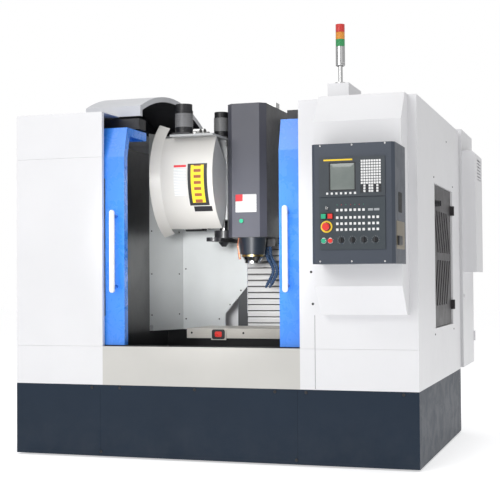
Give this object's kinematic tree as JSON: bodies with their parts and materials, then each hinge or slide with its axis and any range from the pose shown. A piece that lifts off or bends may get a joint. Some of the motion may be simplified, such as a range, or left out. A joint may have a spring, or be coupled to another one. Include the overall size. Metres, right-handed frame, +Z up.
{
  "type": "cnc machining center",
  "caption": "Enclosed vertical milling machine with sliding doors, tool changer, slotted table, control pendant and rear electrical cabinet.",
  "frame": {"origin": "on the floor, under the middle of the whole machine's box", "axes": "+Z up, +Y from the operator's side to the rear, +X to the operator's right"},
  "size_m": [2.5062, 2.722, 2.455],
  "materials": {
    "white_paint": "satin",
    "base_paint": "satin",
    "sill_paint": "satin",
    "blue_paint": "gloss",
    "pendant_paint": "satin",
    "head_paint": "satin",
    "guard_paint": "satin",
    "casting": "painted",
    "table_iron": "ground",
    "stainless": "brushed",
    "liner_paint": "satin",
    "machined_steel": "ground",
    "dark_steel": "matt",
    "black_plastic": "matt",
    "white_plastic": "gloss",
    "panel_plastic": "matt",
    "red_plastic": "gloss",
    "green_plastic": "gloss",
    "lens": "gloss",
    "pane": "clear"
  },
  "bodies": {
    "machine": {"bed": "casting", "column": "casting", "leveling_feet": "machined_steel", "skirt_panels": "base_paint", "front_apron": "sill_paint", "front_panels": "white_paint", "left_side_panel": "white_paint", "right_side_panel": "white_paint", "rear_and_roof_panels": "white_paint", "magazine_hood": "white_paint", "door_rails": "dark_steel", "inner_walls": "liner_paint", "chip_pan": "stainless", "z_way_cover": "stainless", "axis_drives": "machined_steel", "operator_console": "white_paint", "pendant_housing": "pendant_paint", "display_unit": "panel_plastic", "operator_panel": "panel_plastic", "tower_light_box": "white_paint", "tower_light_mast": "machined_steel", "tower_lenses": "lens", "magazine_cover": "guard_paint", "changer_gearbox": "casting", "changer_motors": "dark_steel", "electrical_cabinet": "white_paint"},
    "left_door": {"left_door": "blue_paint", "left_door_window": "pane", "left_door_handle": "white_plastic"},
    "right_door": {"right_door": "blue_paint", "right_door_window": "pane", "right_door_handle": "white_plastic"},
    "saddle": {"saddle": "stainless", "x_axis_drive": "machined_steel"},
    "table": {"table": "table_iron"},
    "front_way_cover": {"y_cover_front": "stainless"},
    "rear_way_cover": {"y_cover_rear": "stainless"},
    "head": {"spindle_head": "casting", "head_cover": "head_paint", "coolant_fittings": "black_plastic"},
    "spindle": {"spindle": "machined_steel"},
    "unclamp_button": {"unclamp_button": "green_plastic"},
    "magazine_disc": {"magazine_disc": "machined_steel"},
    "change_pot": {"change_pot": "black_plastic"},
    "arm_shaft": {"arm_shaft": "machined_steel"},
    "change_arm": {"changer_arm": "machined_steel"},
    "side_door": {"side_door": "guard_paint"},
    "side_door_knob": {"side_door_knob": "black_plastic"},
    "cabinet_door": {"cabinet_door": "white_paint", "heat_exchanger": "white_paint"},
    "estop": {"estop_button": "red_plastic"},
    "power_on": {"power_on_button": "green_plastic"},
    "power_off": {"power_off_button": "red_plastic"},
    "cycle_start": {"cycle_start_button": "green_plastic"},
    "feed_hold": {"feed_hold_button": "red_plastic"},
    "key_switch": {"key_switch": "machined_steel"},
    "knob_1": {"selector_knob_1": "black_plastic"},
    "knob_2": {"selector_knob_2": "black_plastic"},
    "knob_3": {"selector_knob_3": "black_plastic"},
    "knob_4": {"selector_knob_4": "black_plastic"}
  },
  "joints": [
    {"name": "left_door_slide", "type": "slide", "parent": "machine", "child": "left_door", "axis": [1, 0, 0], "range_m": [0, 0.469]},
    {"name": "right_door_slide", "type": "slide", "parent": "machine", "child": "right_door", "axis": [1, 0, 0], "range_m": [-0.469, 0]},
    {"name": "saddle_slide", "type": "slide", "parent": "machine", "child": "saddle", "axis": [0, 1, 0], "range_m": [-0.24, 0.15]},
    {"name": "table_slide", "type": "slide", "parent": "saddle", "child": "table", "axis": [1, 0, 0], "range_m": [-0.265, 0.265]},
    {"name": "front_cover_slide", "type": "slide", "parent": "machine", "child": "front_way_cover", "axis": [0, 1, 0], "range_m": [-0.12, 0.075]},
    {"name": "rear_cover_slide", "type": "slide", "parent": "machine", "child": "rear_way_cover", "axis": [0, 1, 0], "range_m": [-0.12, 0.075]},
    {"name": "head_slide", "type": "slide", "parent": "machine", "child": "head", "axis": [0, 0, 1], "range_m": [-0.23, 0.174], "deforming": ["z_way_cover"]},
    {"name": "spindle_turn", "type": "hinge", "parent": "head", "child": "spindle", "pos_m": [-0.03315, -0.118, 1.128], "axis": [0, 0, 1], "continuous": true},
    {"name": "unclamp_press", "type": "slide", "parent": "head", "child": "unclamp_button", "axis": [0, 1, 0], "range_m": [0, 0.004], "stiffness_N_per_m": 600},
    {"name": "disc_turn", "type": "hinge", "parent": "machine", "child": "magazine_disc", "pos_m": [-0.32115, -0.118, 1.664], "axis": [1, 0, 0], "continuous": true},
    {"name": "pot_flip", "type": "hinge", "parent": "magazine_disc", "child": "change_pot", "pos_m": [-0.41315, -0.118, 1.368], "axis": [0, -1, 0], "range_deg": [0, 90]},
    {"name": "arm_slide", "type": "slide", "parent": "machine", "child": "arm_shaft", "axis": [0, 0, 1], "range_m": [-0.11, 0]},
    {"name": "arm_swing", "type": "hinge", "parent": "arm_shaft", "child": "change_arm", "pos_m": [-0.22315, -0.118, 1.274], "axis": [0, 0, 1], "range_deg": [0, 40]},
    {"name": "side_door_hinge", "type": "hinge", "parent": "machine", "child": "side_door", "pos_m": [1.15385, 0.414, 1.15], "axis": [0, 0, 1], "range_deg": [0, 110]},
    {"name": "side_knob_turn", "type": "hinge", "parent": "side_door", "child": "side_door_knob", "pos_m": [1.13485, -0.21, 1.467], "axis": [1, 0, 0], "range_deg": [0, 90]},
    {"name": "cabinet_door_hinge", "type": "hinge", "parent": "machine", "child": "cabinet_door", "pos_m": [1.16815, 1.354, 1.2], "axis": [0, 0, 1], "range_deg": [0, 110]},
    {"name": "estop_press", "type": "slide", "parent": "machine", "child": "estop", "axis": [0, 1, 0], "range_m": [0, 0.006], "stiffness_N_per_m": 900},
    {"name": "power_on_press", "type": "slide", "parent": "machine", "child": "power_on", "axis": [0, 1, 0], "range_m": [0, 0.004], "stiffness_N_per_m": 600},
    {"name": "power_off_press", "type": "slide", "parent": "machine", "child": "power_off", "axis": [0, 1, 0], "range_m": [0, 0.004], "stiffness_N_per_m": 600},
    {"name": "cycle_start_press", "type": "slide", "parent": "machine", "child": "cycle_start", "axis": [0, 1, 0], "range_m": [0, 0.004], "stiffness_N_per_m": 600},
    {"name": "feed_hold_press", "type": "slide", "parent": "machine", "child": "feed_hold", "axis": [0, 1, 0], "range_m": [0, 0.004], "stiffness_N_per_m": 600},
    {"name": "key_turn", "type": "hinge", "parent": "machine", "child": "key_switch", "pos_m": [0.75485, -1.334, 1.384], "axis": [0, -1, 0], "range_deg": [0, 75]},
    {"name": "knob_1_turn", "type": "hinge", "parent": "machine", "child": "knob_1", "pos_m": [0.82885, -1.334, 1.221], "axis": [0, -1, 0], "range_deg": [-60, 60]},
    {"name": "knob_2_turn", "type": "hinge", "parent": "machine", "child": "knob_2", "pos_m": [0.88685, -1.334, 1.221], "axis": [0, -1, 0], "range_deg": [-60, 60]},
    {"name": "knob_3_turn", "type": "hinge", "parent": "machine", "child": "knob_3", "pos_m": [0.94485, -1.334, 1.221], "axis": [0, -1, 0], "range_deg": [-60, 60]},
    {"name": "knob_4_turn", "type": "hinge", "parent": "machine", "child": "knob_4", "pos_m": [1.00385, -1.334, 1.221], "axis": [0, -1, 0], "range_deg": [-60, 60]}
  ],
  "couplings": [
    {"joint": "front_cover_slide", "follows": "saddle_slide", "ratio": 0.5},
    {"joint": "rear_cover_slide", "follows": "saddle_slide", "ratio": 0.5}
  ]
}
